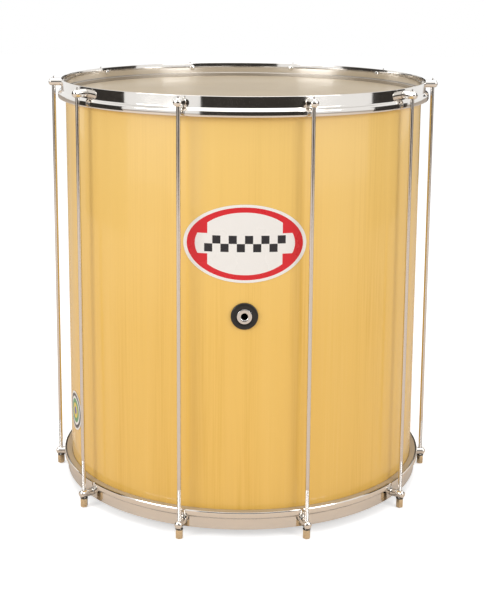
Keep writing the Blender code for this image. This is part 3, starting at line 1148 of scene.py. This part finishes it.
@dataclass
class TuningNuts:
    """The long hexagonal nuts."""

    sides: int = 6
    across_flats: float = 0.010
    end_bevel: float = 0.00063
    bevel_segments: int = 3
    bevel_angle: float = math.radians(70.0)
    sharp_angle: float = math.radians(25.0)
    rest_turn: float = math.radians(25.0)
    cutter_length: float = 0.04
    bore_sides: int = 24

    def build(self, material: bpy.types.Material) -> None:
        """Models one nut and copies it to its ten places, each turned a little further.

        Args:
            material: the nut's metal.
        """
        clear_selection()
        corner_radius = self.across_flats / 2 / math.cos(math.pi / self.sides)
        bpy.ops.mesh.primitive_cylinder_add(
            vertices=self.sides, radius=corner_radius, depth=node_length("tuning_nut_01"))
        model = bpy.context.object
        bevel = model.modifiers.new("ends", "BEVEL")
        bevel.width = self.end_bevel
        bevel.segments = self.bevel_segments
        bevel.limit_method = "ANGLE"
        bevel.angle_limit = self.bevel_angle
        apply_modifiers(model)
        drill(model, ROD_BORE_RADIUS, self.cutter_length, Matrix.Identity(4), self.bore_sides)
        smooth(model, self.sharp_angle)
        dress(model, material)
        for index in range(ROD_COUNT):
            tag = f"{index + 1:02d}"
            node = f"tuning_nut_{tag}"
            turn = Matrix.Rotation(index * self.rest_turn, 4, "Z")
            place = rod_place(index, middle_height(node)) @ turn
            seat(copy_piece(model, f"nut_{tag}_hexagon", place), node,
                 f"nut_{tag}")
        bpy.data.objects.remove(model, do_unlink=True)


@dataclass
class NutWashers:
    """The washers between the lower studs and the nuts."""

    radius: float = 0.00575
    edge: float = 0.0002
    bore: float = ROD_BORE_RADIUS + 0.00015
    steps: int = 32

    def build(self, material: bpy.types.Material) -> None:
        """Models one washer and copies it to its ten places.

        Args:
            material: the washer's metal, dark as painted shade of the gap under the stud.
        """
        half = node_length("nut_washer_01") / 2
        profile = [
            (self.radius - self.edge, half),
            (self.radius, half - self.edge),
            (self.radius, self.edge - half),
            (self.radius - self.edge, -half),
            (self.bore, -half),
            (self.bore, half),
        ]
        model = lathe("washer_model", profile, self.steps)
        smooth(model)
        dress(model, material)
        for index in range(ROD_COUNT):
            tag = f"{index + 1:02d}"
            node = f"nut_washer_{tag}"
            place = rod_place(index, middle_height(node))
            seat(copy_piece(model, f"washer_{tag}_ring", place), node,
                 f"washer_{tag}")
        bpy.data.objects.remove(model, do_unlink=True)


@dataclass
class Vent:
    """The black bezel and the metal eyelet in the front of the shell."""

    bezel_radius: float = 0.0195
    bezel_depth: float = 0.003
    bezel_face: float = 0.0155
    bezel_round: float = 0.0016
    bezel_round_from: float = 75.0
    bezel_round_steps: int = 5
    bezel_bore: float = VENT_BARREL_RADIUS + 0.0004
    dish_depth: float = 0.00258
    dish_slope: float = 0.0008
    flange_radius: float = 0.0108
    flange_depth: float = 0.0012
    flange_round_steps: int = 8
    bore: float = 0.0052
    throat_width: float = 0.0012
    roll: float = 0.0095
    roll_round_steps: int = 6
    bezel_steps: int = 96
    eyelet_steps: int = 72

    def place(self) -> Matrix:
        """Gives the middle of the bezel's back.

        Returns:
            The place, with local Z pointing out of the drum.
        """
        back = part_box("vent_bezel")[1].y
        out = Matrix.Rotation(math.pi / 2, 4, "X")
        return Matrix.Translation((0.0, back, VENT_HEIGHT)) @ out

    def build_bezel(self, material: bpy.types.Material) -> None:
        """Models the bezel with a rounded edge and a dish for the eyelet's flange.

        Args:
            material: the plastic.
        """
        round_middle = (self.bezel_radius - self.bezel_round, self.bezel_depth - self.bezel_round)
        profile = [
            (self.bezel_bore, self.dish_depth),
            (self.flange_radius, self.dish_depth),
            (self.flange_radius + self.dish_slope, self.bezel_depth),
            (self.bezel_face, self.bezel_depth),
        ]
        profile += arc(
            round_middle, self.bezel_round, self.bezel_round_from, 0, self.bezel_round_steps)
        profile += [(self.bezel_radius, 0.0), (self.bezel_bore, 0.0)]
        piece = lathe("vent_ring", profile, self.bezel_steps)
        piece.data.transform(self.place())
        smooth(piece)
        dress(piece, material)
        seat(piece, "vent_bezel")

    def build_eyelet(self, material: bpy.types.Material) -> None:
        """Models the eyelet with a rolled flange at each end.

        Args:
            material: the plating.
        """
        under = self.bezel_depth + CONTACT_GAP
        front = under + self.flange_depth
        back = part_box("vent_bezel")[1].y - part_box("vent_eyelet")[1].y
        half = self.flange_depth / 2
        profile = [
            (self.bore, front - half),
            (self.bore + self.throat_width / 3, front - self.throat_width / 6),
            (self.bore + self.throat_width, front),
        ]
        profile += arc((self.flange_radius - half, front - half), half, 90, -90,
                       self.flange_round_steps)
        profile += [(VENT_BARREL_RADIUS, under), (VENT_BARREL_RADIUS, back + self.flange_depth)]
        profile += arc((self.roll - half, back + half), half, 90, -90, self.roll_round_steps)
        profile += [(self.bore, back)]
        piece = lathe("vent_grommet", profile, self.eyelet_steps)
        piece.data.transform(self.place())
        smooth(piece)
        dress(piece, material)
        seat(piece, "vent_eyelet")


@dataclass
class BentFilm:
    """A thin round or oval film bent round the shell."""

    name: str
    half_width: float
    half_height: float
    height: float
    angle: float
    radius: float = FILM_RADIUS
    thickness: float = 0.0004
    inset_reach: float = 0.98
    rings: int = 18
    steps: int = 96

    def build(self, material: bpy.types.Material) -> bpy.types.Object:
        """Models the film flat, in rings, and bends it round the shell.

        Args:
            material: the printed film.

        Returns:
            The film.
        """
        clear_selection()
        bpy.ops.mesh.primitive_circle_add(vertices=self.steps, radius=1.0, fill_type="NGON")
        piece = bpy.context.object
        name_piece(piece, self.name)
        bpy.ops.object.mode_set(mode="EDIT")
        bpy.ops.mesh.select_all(action="SELECT")
        for _ in range(self.rings - 1):
            bpy.ops.mesh.inset(thickness=self.inset_reach / self.rings, use_boundary=True)
        bpy.ops.mesh.poke()
        bpy.ops.object.mode_set(mode="OBJECT")
        for vertex in piece.data.vertices:
            turn = self.angle + vertex.co.x * self.half_width / self.radius
            rise = self.height + vertex.co.y * self.half_height
            vertex.co = Vector((
                self.radius * math.cos(turn), self.radius * math.sin(turn), rise))
        wall = piece.modifiers.new("film", "SOLIDIFY")
        wall.thickness = self.thickness
        wall.offset = 1.0
        apply_modifiers(piece)
        smooth(piece)
        dress(piece, material)
        return piece


@dataclass
class SideSticker:
    """The small round sticker low on the left side, which has no CAD node."""

    radius: float = 0.031
    height: float = 0.126
    angle: float = math.radians(-160.0)
    rings: int = 8
    steps: int = 64

    def build(self, group: WearGroup) -> None:
        """Makes the sticker and its print.

        Args:
            group: the shared wear group.
        """
        middle = (FILM_RADIUS * math.cos(self.angle), FILM_RADIUS * math.sin(self.angle),
                  self.height)
        finish = StickerFinish(
            "sticker_print", (0.80, 0.79, 0.76), 0.3, middle=middle, radius=self.radius)
        film = BentFilm("side_sticker", self.radius, self.radius, self.height, self.angle,
                        rings=self.rings, steps=self.steps)
        seat(film.build(finish.build(group)))


@dataclass(frozen=True)
class SoftBox:
    """One square lamp."""

    name: str
    place: Triple
    size: float
    power: float


@dataclass(frozen=True)
class Flag:
    """One dark card on a circle round the drum, between two azimuths from the camera's side.

    Azimuths are in degrees and grow towards the camera's right.
    """

    name: str
    start: float
    end: float
    height: float


@dataclass
class Studio:
    """Floor, world, lamps, dark cards and the camera at the photograph's angle."""

    camera_distance: float = 2.029
    camera_height: float = 0.831
    camera_azimuth: float = math.radians(-0.75)
    pitch: float = math.radians(10.71)
    yaw: float = math.radians(0.038)
    roll: float = math.radians(0.401)
    lens: float = 76.92
    sensor: float = 36.0
    shift_down: float = -1.0 / 6.0
    aim_height: float = 0.33
    floor_size: float = 14.0
    floor_middle: Triple = (0.0, 2.0, -0.0005)
    floor_roughness: float = 0.9
    floor_glow: float = 0.55
    floor_warm: Colour = (0.80, 0.70, 0.61)
    floor_white: Colour = (0.86, 0.86, 0.86)
    ambient: float = 0.55
    flag_radius: float = 3.0
    flag_colour: Colour = (0.03, 0.027, 0.024)
    flag_roughness: float = 0.9
    flag_columns: int = 24
    lamps: list[SoftBox] = field(default_factory=lambda: [
        SoftBox("left_softbox", (-2.6, -1.9, 1.7), 1.5, 40.0),
        SoftBox("right_softbox", (2.4, -2.3, 1.8), 1.5, 36.0),
        SoftBox("top_softbox", (0.0, -0.2, 3.2), 2.4, 28.0),
    ])
    flags: list[Flag] = field(default_factory=lambda: [
        Flag("front_flag", -25.0, 36.0, 1.5),
        Flag("left_flag", -116.0, -74.0, 1.9),
        Flag("right_flag", 80.0, 112.0, 1.9),
        Flag("back_flag", 152.0, 196.0, 1.3),
    ])

    def make_camera(self) -> None:
        """Adds the camera."""
        data = bpy.data.cameras.new("camera")
        data.lens = self.lens
        data.sensor_width = self.sensor
        data.sensor_fit = "AUTO"
        data.shift_y = self.shift_down
        camera = bpy.data.objects.new("camera", data)
        bpy.context.scene.collection.objects.link(camera)
        place = Vector((
            self.camera_distance * math.sin(self.camera_azimuth),
            -self.camera_distance * math.cos(self.camera_azimuth), self.camera_height))
        heading = math.atan2(-place.x, -place.y) + self.yaw
        forward = Vector((
            math.sin(heading) * math.cos(self.pitch),
            math.cos(heading) * math.cos(self.pitch), -math.sin(self.pitch)))
        look = forward.to_track_quat("-Z", "Y").to_matrix().to_4x4()
        lean = Matrix.Rotation(self.roll, 4, "Z")
        camera.rotation_mode = "QUATERNION"
        camera.matrix_world = Matrix.Translation(place) @ look @ lean
        bpy.context.scene.camera = camera

    def make_lamp(self, box: SoftBox) -> None:
        """Adds a lamp that faces the middle of the drum.

        Args:
            box: the lamp.
        """
        data = bpy.data.lights.new(box.name, "AREA")
        data.energy = box.power
        data.size = box.size
        lamp = bpy.data.objects.new(box.name, data)
        bpy.context.scene.collection.objects.link(lamp)
        lamp.location = box.place
        towards = Vector((0.0, 0.0, self.aim_height)) - Vector(box.place)
        lamp.rotation_mode = "QUATERNION"
        lamp.rotation_quaternion = towards.to_track_quat("-Z", "Y")

    def make_floor(self) -> None:
        """Adds the pale floor, near white to the camera apart from the shadow."""
        clear_selection()
        bpy.ops.mesh.primitive_plane_add(size=self.floor_size, location=self.floor_middle)
        floor = bpy.context.object
        floor.name = "floor"
        material = bpy.data.materials.new("floor_pale")
        material.use_nodes = True
        nodes = material.node_tree.nodes
        shader = nodes["Principled BSDF"]
        tree = NodeTree(material.node_tree)
        tree.feed(self.floor_roughness, shader.inputs["Roughness"])
        tree.feed(0.0, shader.inputs["Specular IOR Level"])
        seen = tree.add("ShaderNodeLightPath").outputs["Is Camera Ray"]
        tree.feed(tree.mix(seen, self.floor_warm, self.floor_white), shader.inputs["Base Color"])
        glow = tree.add("ShaderNodeEmission")
        tree.feed(WHITE, glow.inputs["Color"])
        tree.feed(tree.product(seen, self.floor_glow), glow.inputs["Strength"])
        both = tree.add("ShaderNodeAddShader")
        tree.feed(shader.outputs[0], both.inputs[0])
        tree.feed(glow.outputs[0], both.inputs[1])
        tree.feed(both.outputs[0], nodes["Material Output"].inputs["Surface"])
        floor.data.materials.append(material)

    def make_flag(self, flag: Flag, material: bpy.types.Material) -> None:
        """Adds a dark curved card that only reflections see.

        Args:
            flag: the card's place and height.
            material: its dark cloth.
        """
        clear_selection()
        bpy.ops.mesh.primitive_grid_add(
            x_subdivisions=self.flag_columns, y_subdivisions=1, size=1.0)
        card = bpy.context.object
        card.name = flag.name
        for vertex in card.data.vertices:
            share = vertex.co.x + 0.5
            azimuth = math.radians(flag.start + (flag.end - flag.start) * share)
            vertex.co = Vector((
                self.flag_radius * math.sin(azimuth), -self.flag_radius * math.cos(azimuth),
                flag.height * (vertex.co.y + 0.5)))
        card.data.materials.append(material)
        card.visible_camera = False
        card.visible_diffuse = False
        card.visible_shadow = False
        card.visible_transmission = False

    def make_flags(self) -> None:
        """Adds the dark cards, which share one cloth."""
        material = bpy.data.materials.new("flag_cloth")
        material.use_nodes = True
        shader = material.node_tree.nodes["Principled BSDF"].inputs
        tree = NodeTree(material.node_tree)
        tree.feed(self.flag_colour, shader["Base Color"])
        tree.feed(self.flag_roughness, shader["Roughness"])
        for flag in self.flags:
            self.make_flag(flag, material)

    def make_world(self) -> None:
        """Makes the world white to the camera and to reflections, and dimmer as light."""
        world = bpy.data.worlds.new("studio")
        bpy.context.scene.world = world
        world.use_nodes = True
        tree = NodeTree(world.node_tree)
        background = world.node_tree.nodes["Background"].inputs
        tree.feed(WHITE, background["Color"])
        path = tree.add("ShaderNodeLightPath").outputs
        seen = tree.calc("MAXIMUM", path["Is Camera Ray"], path["Is Glossy Ray"])
        seen = tree.calc("MAXIMUM", seen, path["Is Transmission Ray"])
        added = tree.product(seen, 1.0 - self.ambient)
        tree.feed(tree.calc("ADD", added, self.ambient), background["Strength"])

    def build(self) -> None:
        """Sets up the whole studio."""
        bpy.context.scene.view_settings.view_transform = "Standard"
        self.make_camera()
        for box in self.lamps:
            self.make_lamp(box)
        self.make_floor()
        self.make_world()
        self.make_flags()
        LOG.info("the studio has %d lamps and %d cards", len(self.lamps), len(self.flags))


def build_finishes(group: WearGroup) -> dict[str, bpy.types.Material]:
    """Builds the finishes of the pieces that replace CAD nodes.

    Args:
        group: the shared wear group.

    Returns:
        The materials by their names.
    """
    finishes: list[Finish] = [
        LaminateFinish("laminate", (0.85, 0.54, 0.125), 0.22),
        SkinFinish("milky_film", (0.51, 0.41, 0.275), 0.38),
        MetalFinish("rim_plating", (0.80, 0.77, 0.73), 0.06),
        MetalFinish("stud_plating", (0.80, 0.77, 0.73), 0.08, smudge_scale=60.0),
        MetalFinish("rod_plating", (0.72, 0.69, 0.66), 0.14, smudge_scale=40.0),
        MetalFinish("hoop_drawn", (0.50, 0.46, 0.41), 0.30, scratch_scale=180.0),
        MetalFinish("nut_turned", (0.74, 0.60, 0.40), 0.26, smudge_scale=90.0),
        # Painted shade: the washers are made dark to stand for the shaded gap between the lower
        # studs and the nuts.
        MetalFinish("washer_dark_painted_shade", (0.16, 0.14, 0.12), 0.35, smudge_scale=90.0),
        MetalFinish("eyelet_plating", (0.72, 0.70, 0.68), 0.12, smudge_scale=80.0),
        PlasticFinish("bezel_plastic", (0.012, 0.012, 0.012), 0.30),
        LabelFinish("label_print", (0.84, 0.83, 0.81), 0.25),
    ]
    return {finish.name: finish.build(group) for finish in finishes}


def build_drum() -> None:
    """Builds every piece of the drum over its CAD node."""
    group = WearGroup()
    finish = build_finishes(group)
    Shell().build(finish["laminate"])
    for end in DrumEnd:
        Head(end).build(finish["milky_film"])
        FleshHoop(end).build(finish["hoop_drawn"])
        Rim(end).build(finish["rim_plating"])
    RodStuds().build(finish["stud_plating"])
    TensionRods().build(finish["rod_plating"])
    TuningNuts().build(finish["nut_turned"])
    NutWashers().build(finish["washer_dark_painted_shade"])
    vent = Vent()
    vent.build_bezel(finish["bezel_plastic"])
    vent.build_eyelet(finish["eyelet_plating"])
    label = BentFilm(
        "label_oval", LABEL_HALF_WIDTH, LABEL_HALF_HEIGHT, LABEL_HEIGHT, FRONT_ANGLE)
    seat(label.build(finish["label_print"]), "front_label")
    SideSticker().build(group)


def main() -> None:
    """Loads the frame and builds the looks."""
    logging.basicConfig(level=logging.INFO, format="%(name)s: %(message)s")
    for leftover in list(bpy.data.objects):
        bpy.data.objects.remove(leftover, do_unlink=True)
    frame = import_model()
    LOG.info("the frame has %d nodes", len(frame["nodes"]))
    Studio().build()
    build_drum()
    bpy.context.view_layer.update()


if __name__ == "__main__":
    main()
